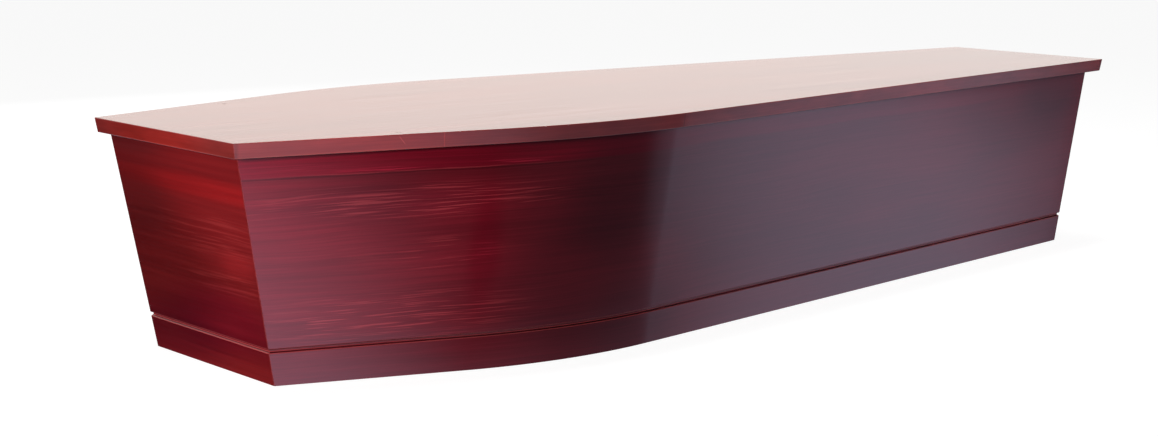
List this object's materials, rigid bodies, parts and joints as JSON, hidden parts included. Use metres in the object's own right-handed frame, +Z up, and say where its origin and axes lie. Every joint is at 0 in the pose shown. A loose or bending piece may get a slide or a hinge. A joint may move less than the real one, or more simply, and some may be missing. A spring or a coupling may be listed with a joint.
{
  "type": "wooden coffin",
  "caption": "Plain shouldered coffin of lacquered wood with outward-leaning walls, a V-groove low down and a flat overhanging lift-off lid, hollow and empty inside.",
  "frame": {"origin": "on the floor, under the middle of the lid", "axes": "+X along the coffin from the head end to the foot end, +Y to the left of one lying in it, +Z up"},
  "size_m": [1.9998, 0.6818, 0.364],
  "materials": {
    "wall_lacquer": "glossy lacquer over red mahogany stain, long grain",
    "end_lacquer": "glossy lacquer over red mahogany stain, grain across the end",
    "lid_lacquer": "high-gloss lacquer over red mahogany stain, long grain",
    "base_wood": "bare sealed board"
  },
  "bodies": {
    "root": {"base_board": "base_wood", "side_board_left": "wall_lacquer", "side_board_right": "wall_lacquer", "head_board": "end_lacquer", "foot_board": "end_lacquer", "lid_board": "lid_lacquer"}
  },
  "joints": []
}
